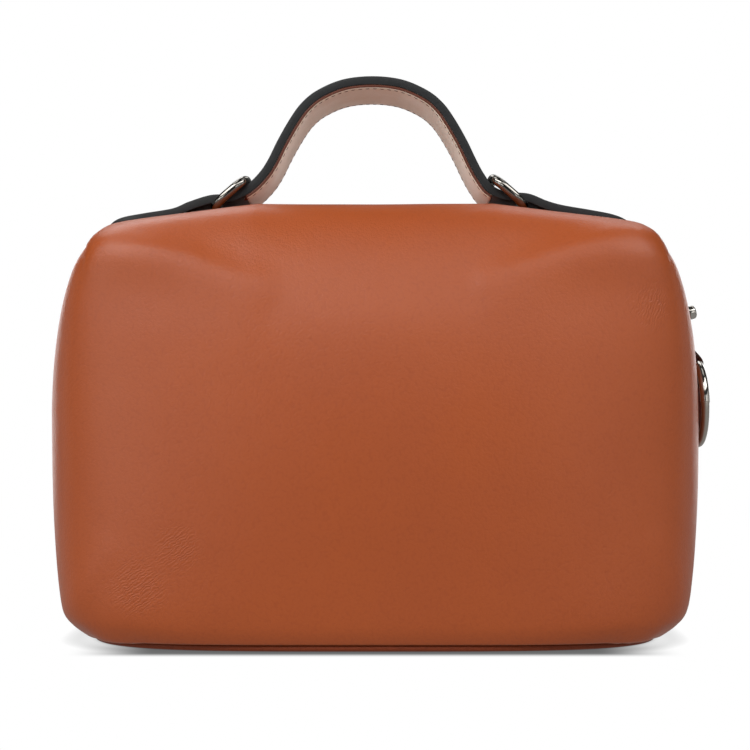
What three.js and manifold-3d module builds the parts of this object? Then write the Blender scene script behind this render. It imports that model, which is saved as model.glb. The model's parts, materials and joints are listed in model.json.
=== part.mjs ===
// A small soft-cornered zip-top handbag with one top handle, in millimetres.
// The origin is the middle of the base's underside, +Z is up and the rear panel faces -Y.
import * as THREE from 'three';
import { mergeVertices } from 'three/addons/utils/BufferGeometryUtils.js';
import Module from 'manifold-3d';

// Leather and the small gap between pieces that touch
const WALL = 2;
const GAP = 0.3;

// Body: the top falls away towards both ends from the stretch under the handle
const DROOP_START = 36;
const DROOP_SLOPE = 0.135;
const DROOP_FADE_LOW = 50;
const DROOP_FADE_HIGH = 124;

// Both ends swell a little in the middle
const SWELL = 2.3;
const SWELL_HALF_DEPTH = 32;
const SWELL_LOW = [4, 40];
const SWELL_HIGH = [100, 126];

const SECTION_POINTS = 56;
const SECTION_STEPS = 26;
const FAR = 300;

// Base panel with its narrow lip below the base seam
const BASE_THICKNESS = 1.8;
const BASE_HALF_WIDTH = 86.4;
const BASE_HALF_DEPTH = 51.2;
const BASE_SQUARENESS = 3.6;
const BASE_EDGE_ROUND = 0.6;

// Zip on the top, beyond the handle
const ZIP_Y = 22;
const ZIP_HALF_LENGTH = 76;
const ZIP_TAPE_HALF = 4.5;
const ZIP_TEETH_HALF = 2.5;
const ZIP_TEETH_RISE = 0.9;
const SLIDER_X = -61;
const SLIDER_HALF_LENGTH = 4.5;
const SLIDER_HALF_WIDTH = 3.6;
const SLIDER_RISE = 2.8;
const PULL_LENGTH = 20;
const PULL_HALF_WIDTH = 2.4;
const PULL_BOTTOM = 1.2;
const PULL_TOP = 2.4;

// Handle strap, its lining and its two rings
const STRAP_WIDTH = 24.5;
const STRAP_THICKNESS = 1.5;
const STRAP_HALF_LENGTH = 83;
const STRAP_STEPS = 80;
const LINING_THICKNESS = 1;
const LINING_GAP = 0.25;
const LINING_REACH = 41;
const HANDLE_RING = { wire: 1.25, corner: 3.2, halfLength: 14.2, halfSlant: 6.9 };
const HANDLE_RING_X = 45.2;
const HANDLE_RING_Z = 136;
const HANDLE_RING_SLANT = THREE.MathUtils.degToRad(40.3);

// Right end: a strip that keeps the ring, a stud on it, and the ring
const END_Y = -2;
const TAB_THICKNESS = 1.1;
const TAB_TOP = 103;
const TAB_TOP_RADIUS = 6;
const TAB_NECK_TOP = 89;
const TAB_END = 76.5;
const TAB_END_RADIUS = 3;
const TAB_STEPS = 36;
const KEEPER_LIFT = 3.5;
const KEEPER_HALF_SPAN = 7.5;
const RING_RADIUS = 12.6;
const RING_WIRE = 1.2;
const RING_PIVOT_Z = 83.3;
const RING_STAND_OFF = 1.9;
const RING_TILT = THREE.MathUtils.degToRad(4.2);
const STUD_Z = 100.2;
const STUD_RADIUS = 2.2;
const STUD_HEIGHT = 3.4;

const COLOURS = { calf: '#a0522f', black: '#26262a', lining: '#b59a86', nickel: '#8d8884', zip: '#5d2f1c' };

// Plan sections of the body, from the base up to the ridge of the top; near the top the leather is
// pulled out towards the corners, so the long edges sag between them
const BODY_SECTIONS = [
  { height: 0, halfWidth: 85, halfDepth: 49.8, squareness: 3.6, cornerPull: 0 },
  { height: 1.6, halfWidth: 87.6, halfDepth: 51.4, squareness: 3.6, cornerPull: 0 },
  { height: 5, halfWidth: 93.4, halfDepth: 52.8, squareness: 3.7, cornerPull: 0 },
  { height: 9.5, halfWidth: 95.4, halfDepth: 53.6, squareness: 3.7, cornerPull: 0 },
  { height: 20, halfWidth: 96.7, halfDepth: 54.6, squareness: 3.7, cornerPull: 0 },
  { height: 36, halfWidth: 97.6, halfDepth: 55.2, squareness: 3.7, cornerPull: 0 },
  { height: 55, halfWidth: 98.4, halfDepth: 54.8, squareness: 3.8, cornerPull: 0 },
  { height: 74, halfWidth: 98.6, halfDepth: 53.4, squareness: 3.9, cornerPull: 0 },
  { height: 92, halfWidth: 97, halfDepth: 50.8, squareness: 4.1, cornerPull: 0.4 },
  { height: 107, halfWidth: 94.6, halfDepth: 47, squareness: 4.6, cornerPull: 1.8 },
  { height: 118, halfWidth: 91, halfDepth: 42.6, squareness: 5.2, cornerPull: 4 },
  { height: 125, halfWidth: 87.6, halfDepth: 37.4, squareness: 5.8, cornerPull: 6 },
  { height: 129, halfWidth: 84.6, halfDepth: 30.6, squareness: 6.4, cornerPull: 6.4 },
  { height: 131, halfWidth: 82, halfDepth: 21.6, squareness: 6.6, cornerPull: 5 },
  { height: 131.8, halfWidth: 80.4, halfDepth: 11, squareness: 6.6, cornerPull: 3 },
  { height: 132, halfWidth: 79.6, halfDepth: 0, squareness: 6.6, cornerPull: 0 },
];

// Middle line of the black strap, from the top of the arch to the tip of a tongue
const STRAP_LINE = [
  { x: 0, z: 171.2 },
  { x: 9, z: 170.2 },
  { x: 16.5, z: 167 },
  { x: 21.2, z: 163.4 },
  { x: 24.8, z: 158.6 },
  { x: 28.7, z: 151.9 },
  { x: 31.7, z: 145.6 },
  { x: 34.4, z: 141.2 },
  { x: 38, z: 137.2 },
  { x: 43, z: 134.6 },
  { x: 50.4, z: 134.15 },
  { x: 55.5, z: 132.2 },
  { x: 60.5, z: 130 },
  { x: 70, z: 128.6 },
  { x: 78, z: 127.5 },
  { x: 83.5, z: 126.5 },
];

const wasm = await Module();
wasm.setup();

// A closed geometry as a solid: shared corners merged and empty triangles dropped
function toSolid(geometry) {
  const bare = new THREE.BufferGeometry();
  bare.setAttribute('position', geometry.getAttribute('position'));
  bare.setIndex(geometry.getIndex());
  const merged = mergeVertices(bare, 1e-3);
  const index = merged.getIndex().array;
  const triangles = [];
  for (let i = 0; i < index.length; i += 3) {
    const [a, b, c] = index.subarray(i, i + 3);
    if (a !== b && b !== c && c !== a) triangles.push(a, b, c);
  }
  return new wasm.Manifold(new wasm.Mesh({
    numProp: 3,
    vertProperties: new Float32Array(merged.getAttribute('position').array),
    triVerts: new Uint32Array(triangles),
  }));
}

function toGeometry(solid) {
  const mesh = solid.getMesh();
  const geometry = new THREE.BufferGeometry();
  geometry.setAttribute('position', new THREE.BufferAttribute(mesh.vertProperties, 3));
  geometry.setIndex(new THREE.BufferAttribute(mesh.triVerts, 1));
  geometry.computeVertexNormals();
  return geometry;
}

function block(low, high) {
  const size = high.map((value, axis) => value - low[axis]);
  const geometry = new THREE.BoxGeometry(...size);
  geometry.translate(...low.map((value, axis) => value + size[axis] / 2));
  return toSolid(geometry);
}

// Body surface: a smooth loft through the plan sections
const sectionColumns = new THREE.CubicInterpolant(
  BODY_SECTIONS.map((row, index) => index),
  BODY_SECTIONS.flatMap((row) => [row.height, row.halfWidth, row.halfDepth, row.squareness, row.cornerPull]),
  5,
);

function droopAt(x, height) {
  const fade = THREE.MathUtils.smoothstep(height, DROOP_FADE_LOW, DROOP_FADE_HIGH);
  return DROOP_SLOPE * Math.max(0, Math.abs(x) - DROOP_START) * fade;
}

function swellAt(y, height) {
  const across = Math.cos(Math.min(1, Math.abs(y) / SWELL_HALF_DEPTH) * Math.PI / 2) ** 2;
  const rise = THREE.MathUtils.smoothstep(height, ...SWELL_LOW);
  const fall = 1 - THREE.MathUtils.smoothstep(height, ...SWELL_HIGH);
  return SWELL * across * rise * fall;
}

// A superellipse; a sine or cosine that is zero but for rounding counts as zero
function ovalPoint(halfWidth, halfDepth, squareness, angle) {
  const power = 2 / squareness;
  const reach = (value) => (Math.abs(value) < 1e-9 ? 0 : Math.sign(value) * Math.abs(value) ** power);
  return [halfWidth * reach(Math.cos(angle)), halfDepth * reach(Math.sin(angle))];
}

function bodyPoint(angle, row) {
  const [height, halfWidth, halfDepth, squareness, cornerPull] = sectionColumns.evaluate(row);
  const [x, y] = ovalPoint(halfWidth, halfDepth, squareness, angle);
  const side = x / halfWidth;
  const pull = halfDepth > 0 ? cornerPull * side ** 2 * (y / halfDepth) : 0;
  const swell = side ** 5 * swellAt(y, height);
  return new THREE.Vector3(x + swell, y + pull, height - droopAt(x, height));
}

// Rings of points from the base to the ridge; the base is closed along its own middle line
function bodyGrid() {
  const rings = [];
  for (let step = 0; step <= SECTION_STEPS; step++) {
    const row = (step / SECTION_STEPS) * (BODY_SECTIONS.length - 1);
    const ring = [];
    for (let i = 0; i < SECTION_POINTS; i++) ring.push(bodyPoint((i / SECTION_POINTS) * 2 * Math.PI, row));
    rings.push(ring);
  }
  const floorLine = rings[0].map((point) => new THREE.Vector3(point.x, 0, 0));
  return [floorLine, ...rings];
}

function loftGeometry(rings) {
  const positions = rings.flat().flatMap((point) => point.toArray());
  const index = [];
  const count = rings[0].length;
  for (let r = 0; r < rings.length - 1; r++) {
    for (let i = 0; i < count; i++) {
      const a = r * count + i;
      const b = r * count + (i + 1) % count;
      index.push(a, b, b + count, a, b + count, a + count);
    }
  }
  const geometry = new THREE.BufferGeometry();
  geometry.setAttribute('position', new THREE.Float32BufferAttribute(positions, 3));
  geometry.setIndex(index);
  return geometry;
}

const bodyGeometry = mergeVertices(loftGeometry(bodyGrid()), 1e-3);
bodyGeometry.computeVertexNormals();

// The body's surface moved along its normals: outwards is positive
function bodyOffset(distance) {
  const geometry = bodyGeometry.clone();
  const position = geometry.getAttribute('position');
  const normal = geometry.getAttribute('normal');
  const point = new THREE.Vector3();
  const direction = new THREE.Vector3();
  for (let i = 0; i < position.count; i++) {
    point.fromBufferAttribute(position, i);
    direction.fromBufferAttribute(normal, i);
    point.addScaledVector(direction, distance);
    position.setXYZ(i, point.x, point.y, point.z);
  }
  return toSolid(geometry);
}

function bodyLayer(bottom, top) {
  return bodyOffset(top).subtract(bodyOffset(bottom));
}

// How far the right end reaches at a height, along its middle
const endProfile = bodyGrid().slice(1).map((ring) => ring[0]);

function endReach(z) {
  const above = endProfile.findIndex((point) => point.z >= z);
  const low = endProfile[above - 1];
  const high = endProfile[above];
  return THREE.MathUtils.mapLinear(z, low.z, high.z, low.x, high.x);
}

// Leather walls, parted along the end seams and round the zip
const shell = bodyLayer(-WALL, 0).intersect(block([-FAR, -FAR, BASE_THICKNESS + GAP], [FAR, FAR, FAR]));
const zipSlot = block(
  [-ZIP_HALF_LENGTH - GAP, ZIP_Y - ZIP_TAPE_HALF - GAP, DROOP_FADE_LOW],
  [ZIP_HALF_LENGTH + GAP, ZIP_Y + ZIP_TAPE_HALF + GAP, FAR],
);
const rearPanel = shell.intersect(block([-FAR, -FAR, 0], [FAR, ZIP_Y - GAP / 2, FAR])).subtract(zipSlot);
const frontPanel = shell.intersect(block([-FAR, ZIP_Y + GAP / 2, 0], [FAR, FAR, FAR])).subtract(zipSlot);

function basePanel() {
  const outline = [];
  const inset = BASE_EDGE_ROUND;
  for (let i = 0; i < SECTION_POINTS; i++) {
    const angle = (i / SECTION_POINTS) * 2 * Math.PI;
    const point = ovalPoint(BASE_HALF_WIDTH - inset, BASE_HALF_DEPTH - inset, BASE_SQUARENESS, angle);
    outline.push(new THREE.Vector2(...point));
  }
  const geometry = new THREE.ExtrudeGeometry(new THREE.Shape(outline), {
    depth: BASE_THICKNESS - 2 * BASE_EDGE_ROUND,
    bevelThickness: BASE_EDGE_ROUND,
    bevelSize: BASE_EDGE_ROUND,
    bevelSegments: 2,
  });
  geometry.translate(0, 0, BASE_EDGE_ROUND);
  return toSolid(geometry);
}

// A stretch of the top between two offsets from the body's surface, over a plan rectangle
function topStrip(bottom, top, xRange, halfWidth) {
  const low = [xRange[0], ZIP_Y - halfWidth, DROOP_FADE_LOW];
  const high = [xRange[1], ZIP_Y + halfWidth, FAR];
  return bodyLayer(bottom, top).intersect(block(low, high));
}

function zip() {
  const sliderStart = SLIDER_X - SLIDER_HALF_LENGTH;
  const sliderEnd = SLIDER_X + SLIDER_HALF_LENGTH;
  const tape = topStrip(-WALL, 0, [-ZIP_HALF_LENGTH, ZIP_HALF_LENGTH], ZIP_TAPE_HALF);
  const teethHalf = ZIP_HALF_LENGTH - ZIP_TEETH_HALF;
  const teeth = topStrip(-WALL / 2, ZIP_TEETH_RISE, [-teethHalf, teethHalf], ZIP_TEETH_HALF);
  const slider = topStrip(-WALL / 2, SLIDER_RISE, [sliderStart, sliderEnd], SLIDER_HALF_WIDTH);
  const pull = topStrip(PULL_BOTTOM, PULL_TOP, [SLIDER_X, sliderEnd + PULL_LENGTH], PULL_HALF_WIDTH);
  return tape.add(teeth).add(slider).add(pull);
}

// A band of even thickness along a curve in the XZ plane, extruded across Y
function band(points, outer, inner, width, middleY) {
  const side = (offset) => points.map((point, i) => {
    const before = points[Math.max(i - 1, 0)];
    const after = points[Math.min(i + 1, points.length - 1)];
    const along = new THREE.Vector2(after.x - before.x, after.z - before.z).normalize();
    return new THREE.Vector2(point.x - along.y * offset, point.z + along.x * offset);
  });
  const outline = new THREE.Shape([...side(outer), ...side(inner).reverse()]);
  const geometry = new THREE.ExtrudeGeometry(outline, { depth: width, bevelEnabled: false });
  geometry.rotateX(Math.PI / 2);
  geometry.translate(0, middleY + width / 2, 0);
  return toSolid(geometry);
}

// The strap's whole middle line, left tongue to right tongue
const strapHalf = STRAP_LINE.map((row) => new THREE.Vector3(row.x, 0, row.z));
const strapOther = strapHalf.slice(1).map((point) => new THREE.Vector3(-point.x, 0, point.z)).reverse();
const strapCurve = new THREE.CatmullRomCurve3([...strapOther, ...strapHalf]);

function handleStrap() {
  const points = strapCurve.getSpacedPoints(STRAP_STEPS);
  const half = STRAP_WIDTH / 2;
  const straight = STRAP_HALF_LENGTH - half;
  const plan = new THREE.Shape();
  plan.absarc(straight, 0, half, -Math.PI / 2, Math.PI / 2);
  plan.absarc(-straight, 0, half, Math.PI / 2, 1.5 * Math.PI);
  const outline = new THREE.ExtrudeGeometry(plan, { depth: FAR, bevelEnabled: false, curveSegments: 12 });
  const wide = band(points, STRAP_THICKNESS / 2, -STRAP_THICKNESS / 2, STRAP_WIDTH + GAP, 0);
  return wide.intersect(toSolid(outline));
}

function handleLining() {
  const points = strapCurve.getSpacedPoints(STRAP_STEPS).filter((point) => Math.abs(point.x) < LINING_REACH);
  const top = -STRAP_THICKNESS / 2 - LINING_GAP;
  return band(points, top, top - LINING_THICKNESS, STRAP_WIDTH, 0);
}

// A round wire bent to a rectangle with round corners, lying in its own XY plane
function roundedRing({ wire, corner, halfLength, halfSlant }) {
  const wireSides = 8;
  const turns = 24;
  const geometry = new THREE.TorusGeometry(corner, wire, wireSides, turns);
  geometry.rotateZ(Math.PI / turns);
  const position = geometry.getAttribute('position');
  for (let i = 0; i < position.count; i++) {
    const x = position.getX(i);
    const y = position.getY(i);
    position.setX(i, x + Math.sign(x) * (halfSlant - corner));
    position.setY(i, y + Math.sign(y) * (halfLength - corner));
  }
  return toSolid(geometry);
}

// The strip on the right end: it lies on the leather and rises over the ring like a belt loop
function endTab() {
  const top = TAB_TOP + TAB_TOP_RADIUS;
  const bottom = TAB_END - TAB_END_RADIUS;
  const points = [];
  for (let i = 0; i <= TAB_STEPS; i++) {
    const z = THREE.MathUtils.lerp(top + GAP, bottom - GAP, i / TAB_STEPS);
    const phase = Math.min(1, Math.abs(z - RING_PIVOT_Z) / KEEPER_HALF_SPAN) * Math.PI;
    const lift = KEEPER_LIFT * (0.5 + 0.5 * Math.cos(phase));
    points.push(new THREE.Vector3(endReach(z) + GAP + TAB_THICKNESS / 2 + lift, 0, z));
  }
  const half = TAB_THICKNESS / 2;
  const strip = band(points, half, -half, 2 * TAB_TOP_RADIUS + GAP, END_Y);
  const outline = new THREE.Shape();
  outline.absarc(0, TAB_TOP, TAB_TOP_RADIUS, 0, Math.PI);
  outline.lineTo(-TAB_END_RADIUS, TAB_NECK_TOP);
  outline.absarc(0, TAB_END, TAB_END_RADIUS, Math.PI, 2 * Math.PI);
  outline.lineTo(TAB_END_RADIUS, TAB_NECK_TOP);
  const geometry = new THREE.ExtrudeGeometry(outline, { depth: FAR, bevelEnabled: false, curveSegments: 8 });
  geometry.rotateX(Math.PI / 2);
  geometry.rotateZ(Math.PI / 2);
  geometry.translate(0, END_Y, 0);
  return strip.intersect(toSolid(geometry));
}

// A low domed stud whose axis is +X
function endStud() {
  const neck = 0.75 * STUD_RADIUS;
  const foot = 0.25 * STUD_HEIGHT;
  const profile = [
    new THREE.Vector2(0, 0),
    new THREE.Vector2(neck, 0),
    new THREE.Vector2(neck, foot),
    new THREE.Vector2(STUD_RADIUS, 1.5 * foot),
    new THREE.Vector2(STUD_RADIUS, 3 * foot),
    new THREE.Vector2(0.8 * STUD_RADIUS, 3.7 * foot),
    new THREE.Vector2(0, STUD_HEIGHT),
  ];
  const geometry = new THREE.LatheGeometry(profile, 16);
  geometry.rotateZ(-Math.PI / 2);
  return toSolid(geometry);
}

// A round ring that hangs down from its own origin, in the YZ plane
function endRing() {
  const geometry = new THREE.TorusGeometry(RING_RADIUS, RING_WIRE, 8, 36);
  geometry.rotateY(Math.PI / 2);
  geometry.translate(0, 0, -RING_RADIUS);
  return toSolid(geometry);
}

function piece(name, solid, color, roughness, metalness = 0) {
  const material = new THREE.MeshStandardMaterial({ color, roughness, metalness });
  const mesh = new THREE.Mesh(toGeometry(solid), material);
  mesh.name = name;
  return mesh;
}

const bag = new THREE.Group();
bag.add(
  piece('rear_panel', rearPanel, COLOURS.calf, 0.5),
  piece('front_panel', frontPanel, COLOURS.calf, 0.5),
  piece('base_panel', basePanel(), COLOURS.calf, 0.55),
  piece('zip', zip(), COLOURS.zip, 0.7),
  piece('handle_strap', handleStrap(), COLOURS.black, 0.5),
  piece('handle_lining', handleLining(), COLOURS.lining, 0.7),
  piece('end_tab', endTab(), COLOURS.calf, 0.5),
);

for (const [name, side] of [['handle_ring_left', -1], ['handle_ring_right', 1]]) {
  const ring = piece(name, roundedRing(HANDLE_RING), COLOURS.nickel, 0.2, 1);
  ring.position.set(side * HANDLE_RING_X, 0, HANDLE_RING_Z);
  ring.rotation.y = side * HANDLE_RING_SLANT;
  bag.add(ring);
}

const studLean = Math.atan2(endReach(STUD_Z - 3) - endReach(STUD_Z + 3), 6);
const stud = piece('end_stud', endStud(), COLOURS.nickel, 0.2, 1);
stud.position.set(endReach(STUD_Z) + 2 * GAP + TAB_THICKNESS, END_Y, STUD_Z);
stud.rotation.y = -studLean;
bag.add(stud);

const ring = piece('end_ring', endRing(), COLOURS.nickel, 0.25, 1);
ring.position.set(endReach(RING_PIVOT_Z) + RING_STAND_OFF, END_Y, RING_PIVOT_Z);
ring.rotation.y = -RING_TILT;
bag.add(ring);

export default bag;
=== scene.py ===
import json
import math

import bmesh
import bpy
from mathutils import Matrix, Vector, noise


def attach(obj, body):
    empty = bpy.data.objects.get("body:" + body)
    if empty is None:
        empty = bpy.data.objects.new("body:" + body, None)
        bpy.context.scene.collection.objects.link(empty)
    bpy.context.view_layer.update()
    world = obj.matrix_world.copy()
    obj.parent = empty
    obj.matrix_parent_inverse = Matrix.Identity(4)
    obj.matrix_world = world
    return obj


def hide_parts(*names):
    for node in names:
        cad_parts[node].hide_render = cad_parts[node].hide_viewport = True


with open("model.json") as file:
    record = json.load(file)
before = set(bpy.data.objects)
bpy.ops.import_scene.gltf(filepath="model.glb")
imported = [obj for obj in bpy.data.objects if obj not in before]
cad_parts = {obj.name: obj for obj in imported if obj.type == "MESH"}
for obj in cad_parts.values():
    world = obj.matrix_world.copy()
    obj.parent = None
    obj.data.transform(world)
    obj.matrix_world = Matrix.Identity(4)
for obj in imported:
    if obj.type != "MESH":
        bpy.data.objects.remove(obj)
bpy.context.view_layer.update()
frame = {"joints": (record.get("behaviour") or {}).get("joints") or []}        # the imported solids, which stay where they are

mm = 0.001               # shapes are worked out in millimetres and scaled when they become objects


# small helpers

def linear(hexColour):
    # an sRGB hex colour as the linear one that shaders take
    parts = [int(hexColour[i:i + 2], 16) / 255 for i in (1, 3, 5)]
    return [c / 12.92 if c <= 0.04045 else ((c + 0.055) / 1.055) ** 2.4 for c in parts] + [1.0]


def smoothStep(value, low, high):
    t = min(1.0, max(0.0, (value - low) / (high - low)))
    return t * t * (3 - 2 * t)


def catmull(a, b, c, d, t):
    return b + 0.5 * t * (c - a + t * (2 * a - 5 * b + 4 * c - d + t * (3 * (b - c) + d - a)))


def between(rows, i, t):
    # a point on the smooth curve through the rows, a share t of the way from row i to the next
    four = [rows[min(max(k, 0), len(rows) - 1)] for k in range(i - 1, i + 3)]
    return [catmull(*column, t) for column in zip(*four)]


def smoothLine(points, perSpan):
    spans = range(len(points) - 1)
    return [between(points, i, step / perSpan) for i in spans for step in range(perSpan)] + [points[-1]]


def lastThat(holds, low, high, steps):
    # the highest value from low to high that still passes a test, found by halving
    for step in range(steps):
        middle = (low + high) / 2
        if holds(middle):
            low = middle
        else:
            high = middle
    return low


def addNode(tree, kind, props=None, values=None, links=None):
    node = tree.nodes.new(kind)
    for name, value in (props or {}).items():
        setattr(node, name, value)
    for name, value in (values or {}).items():
        node.inputs[name].default_value = value
    for name, source in (links or {}).items():
        tree.links.new(source, node.inputs[name])
    return node


def remap(tree, value, before, after, kind="LINEAR"):
    # draws one range of values out to another
    limits = dict(zip(("From Min", "From Max", "To Min", "To Max"), (*before, *after)))
    node = addNode(tree, "ShaderNodeMapRange", {"interpolation_type": kind}, limits, {"Value": value})
    return node.outputs["Result"]


def mixColours(tree, factor, first, second):
    colours = {"A": linear(first), "B": linear(second)}
    node = addNode(tree, "ShaderNodeMix", {"data_type": "RGBA"}, colours, {"Factor": factor})
    return node.outputs["Result"]


def waveScale(length):
    # the wave texture's scale for a wavelength in millimetres
    return 2 * math.pi / 10 / (length * mm)


def newMaterial(name, values):
    # a material with its shader, and the place on the object that its patterns are laid out from
    material = bpy.data.materials.new(name)
    material.use_nodes = True
    tree = material.node_tree
    tree.nodes.clear()
    shader = addNode(tree, "ShaderNodeBsdfPrincipled", values=values)
    addNode(tree, "ShaderNodeOutputMaterial", links={"Surface": shader.outputs["BSDF"]})
    place = addNode(tree, "ShaderNodeTexCoord").outputs["Object"]
    return material, tree, shader, place


def makePiece(name, bm, materials, body, nodes=()):
    bmesh.ops.scale(bm, vec=(mm, mm, mm), verts=bm.verts)
    mesh = bpy.data.meshes.new(name)
    bm.to_mesh(mesh)
    bm.free()
    for material in materials:
        mesh.materials.append(material)
    mesh.shade_smooth()
    piece = bpy.data.objects.new(name, mesh)
    bpy.context.scene.collection.objects.link(piece)
    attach(piece, body)
    if nodes:
        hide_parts(*nodes)
    return piece


def addModifier(piece, kind, **settings):
    modifier = piece.modifiers.new(kind.title(), kind)
    for name, value in settings.items():
        setattr(modifier, name, value)


def thicken(sheet, thickness, edgeRound):
    # a sheet's thickness, with the second material on its rounded edges
    addModifier(sheet, "SOLIDIFY", thickness=thickness * mm, offset=0.0, material_offset_rim=1)
    addModifier(sheet, "BEVEL", width=edgeRound * mm, segments=3, limit_method="ANGLE", angle_limit=0.9)


def closeSheet(bm, axis):
    # joins the points that meet at a sheet's round ends and turns its faces towards an axis
    bmesh.ops.remove_doubles(bm, verts=bm.verts, dist=0.005)
    bmesh.ops.recalc_face_normals(bm, faces=bm.faces)
    if sum(f.normal[axis] for f in bm.faces) < 0:
        bmesh.ops.reverse_faces(bm, faces=bm.faces)


def roundEdges(bm, edges, width, segments):
    bmesh.ops.bevel(bm, geom=edges, offset=width, segments=segments, profile=0.5, affect="EDGES",
                    material=-1)


def spinRound(bm, geom, axis, steps):
    bmesh.ops.spin(bm, geom=geom, cent=(0, 0, 0), axis=axis, angle=2 * math.pi, steps=steps, use_merge=True)
    bmesh.ops.remove_doubles(bm, verts=bm.verts, dist=0.001)


# materials

def calfLeather(name, colour, deep, grainWidth, roughness, gloss=0.5, wrinkles=()):
    # Drum-dyed calf, lightly pressed: a fine pebbled grain that breaks up a soft, broad shine
    grain, cloudWidth, creaseWidth = grainWidth * mm, 38, 1.7
    wanderShare, pebbleHeight, fullCrease = 0.0012, -0.75, 0.2
    values = {"Roughness": roughness, "Specular IOR Level": gloss, "IOR": 1.5}
    material, tree, shader, place = newMaterial(name, values)
    wander = addNode(tree, "ShaderNodeTexNoise", values={"Scale": 0.4 / grain, "Detail": 2.0},
                     links={"Vector": place})
    bent = addNode(tree, "ShaderNodeMix", {"data_type": "VECTOR"}, {"Factor": wanderShare},
                   {"A": place, "B": wander.outputs["Color"]})
    pebble = addNode(tree, "ShaderNodeTexVoronoi", {"feature": "SMOOTH_F1"},
                     {"Scale": 1 / grain, "Smoothness": 0.6}, {"Vector": bent.outputs["Result"]})
    pores = addNode(tree, "ShaderNodeTexNoise", values={"Scale": 3 / grain, "Detail": 3.0},
                    links={"Vector": place})
    height = addNode(tree, "ShaderNodeMath", {"operation": "MULTIPLY_ADD"}, {1: pebbleHeight},
                     {0: pebble.outputs["Distance"], 2: pores.outputs["Fac"]})
    bump = addNode(tree, "ShaderNodeBump", values={"Strength": 0.45, "Distance": 0.13 * mm},
                   links={"Height": height.outputs["Value"]})
    for centre, reach, turn in wrinkles:   # short creases where the leather has been pressed
        away = addNode(tree, "ShaderNodeVectorMath", {"operation": "DISTANCE"},
                       {1: [c * mm for c in centre]}, {0: place})
        patch = remap(tree, away.outputs["Value"], (fullCrease * reach * mm, reach * mm), (1.0, 0.0),
                      "SMOOTHSTEP")
        turned = addNode(tree, "ShaderNodeMapping", values={"Rotation": (0, math.radians(turn), 0)},
                         links={"Vector": place})
        folds = addNode(tree, "ShaderNodeTexWave", {"bands_direction": "Z"},
                        {"Scale": waveScale(creaseWidth), "Distortion": 8.0, "Detail": 2.0,
                         "Detail Scale": 1.6}, {"Vector": turned.outputs["Vector"]})
        bump = addNode(tree, "ShaderNodeBump", values={"Distance": 0.07 * mm},
                       links={"Height": folds.outputs["Fac"], "Strength": patch,
                              "Normal": bump.outputs["Normal"]})
    cloud = addNode(tree, "ShaderNodeTexNoise", links={"Vector": place},
                    values={"Scale": 1 / (cloudWidth * mm), "Detail": 4.0, "Roughness": 0.55})
    depth = remap(tree, cloud.outputs["Fac"], (0.3, 0.8), (0.0, 0.5))
    # the grain's valleys painted darker: painted shade in the creases between pebbles, added to the cloudy
    # tone
    valleyShade = remap(tree, pebble.outputs["Distance"], (0.45, 0.95), (0.0, 0.5))
    toneAndValleyShade = addNode(tree, "ShaderNodeMath", {"operation": "ADD", "use_clamp": True},
                    links={0: depth, 1: valleyShade})
    tint = mixColours(tree, toneAndValleyShade.outputs["Value"], colour, deep)
    shine = remap(tree, cloud.outputs["Fac"], (0.2, 0.8), (roughness - 0.04, roughness + 0.06))
    tree.links.new(tint, shader.inputs["Base Color"])
    tree.links.new(shine, shader.inputs["Roughness"])
    tree.links.new(bump.outputs["Normal"], shader.inputs["Normal"])
    return material


def liningLeather(name, colour, deep, fibre):
    # Undyed lining leather with a slight nap: matte and pale, with short soft fibres
    patchWidth = 9
    values = {"Roughness": 0.75, "Specular IOR Level": 0.35, "Sheen Weight": 0.3, "Sheen Roughness": 0.5}
    material, tree, shader, place = newMaterial(name, values)
    nap = addNode(tree, "ShaderNodeTexNoise", links={"Vector": place},
                  values={"Scale": 1 / (fibre * mm), "Detail": 5.0, "Roughness": 0.7})
    patch = addNode(tree, "ShaderNodeTexNoise", values={"Scale": 1 / (patchWidth * mm), "Detail": 3.0},
                    links={"Vector": place})
    blotch = addNode(tree, "ShaderNodeMath", {"operation": "MULTIPLY"},
                     links={0: nap.outputs["Fac"], 1: patch.outputs["Fac"]})
    tone = remap(tree, blotch.outputs["Value"], (0.12, 0.4), (0.0, 1.0))
    bump = addNode(tree, "ShaderNodeBump", values={"Strength": 0.4, "Distance": 0.08 * mm},
                   links={"Height": nap.outputs["Fac"]})
    tree.links.new(mixColours(tree, tone, deep, colour), shader.inputs["Base Color"])
    tree.links.new(bump.outputs["Normal"], shader.inputs["Normal"])
    return material


def edgePaint(name, colour, ripple, gloss):
    # Acrylic edge paint, brushed on in coats: a rounded satin film with faint drag marks
    values = {"Base Color": linear(colour), "Roughness": 0.42, "Specular IOR Level": gloss}
    material, tree, shader, place = newMaterial(name, values)
    film = addNode(tree, "ShaderNodeTexNoise", values={"Scale": 1 / (ripple * mm), "Detail": 2.0},
                   links={"Vector": place})
    shine = remap(tree, film.outputs["Fac"], (0.0, 1.0), (0.34, 0.5))
    bump = addNode(tree, "ShaderNodeBump", values={"Strength": 0.25, "Distance": 0.1 * mm},
                   links={"Height": film.outputs["Fac"]})
    tree.links.new(shine, shader.inputs["Roughness"])
    tree.links.new(bump.outputs["Normal"], shader.inputs["Normal"])
    return material


def nickelPlate(name, colour, smooth, scratch):
    # Nickel plate over die-cast zinc, polished or brushed: clear to satin reflections with hairline wear
    values = {"Base Color": linear(colour), "Metallic": 1.0, "Roughness": smooth}
    material, tree, shader, place = newMaterial(name, values)
    hair = addNode(tree, "ShaderNodeMapping", values={"Scale": (1.0, 1.0, 9.0)}, links={"Vector": place})
    wear = addNode(tree, "ShaderNodeTexNoise", values={"Scale": 1 / (scratch * mm), "Detail": 4.0},
                   links={"Vector": hair.outputs["Vector"]})
    shine = remap(tree, wear.outputs["Fac"], (0.35, 0.75), (smooth, smooth * 1.8))
    tree.links.new(shine, shader.inputs["Roughness"])
    return material


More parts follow.
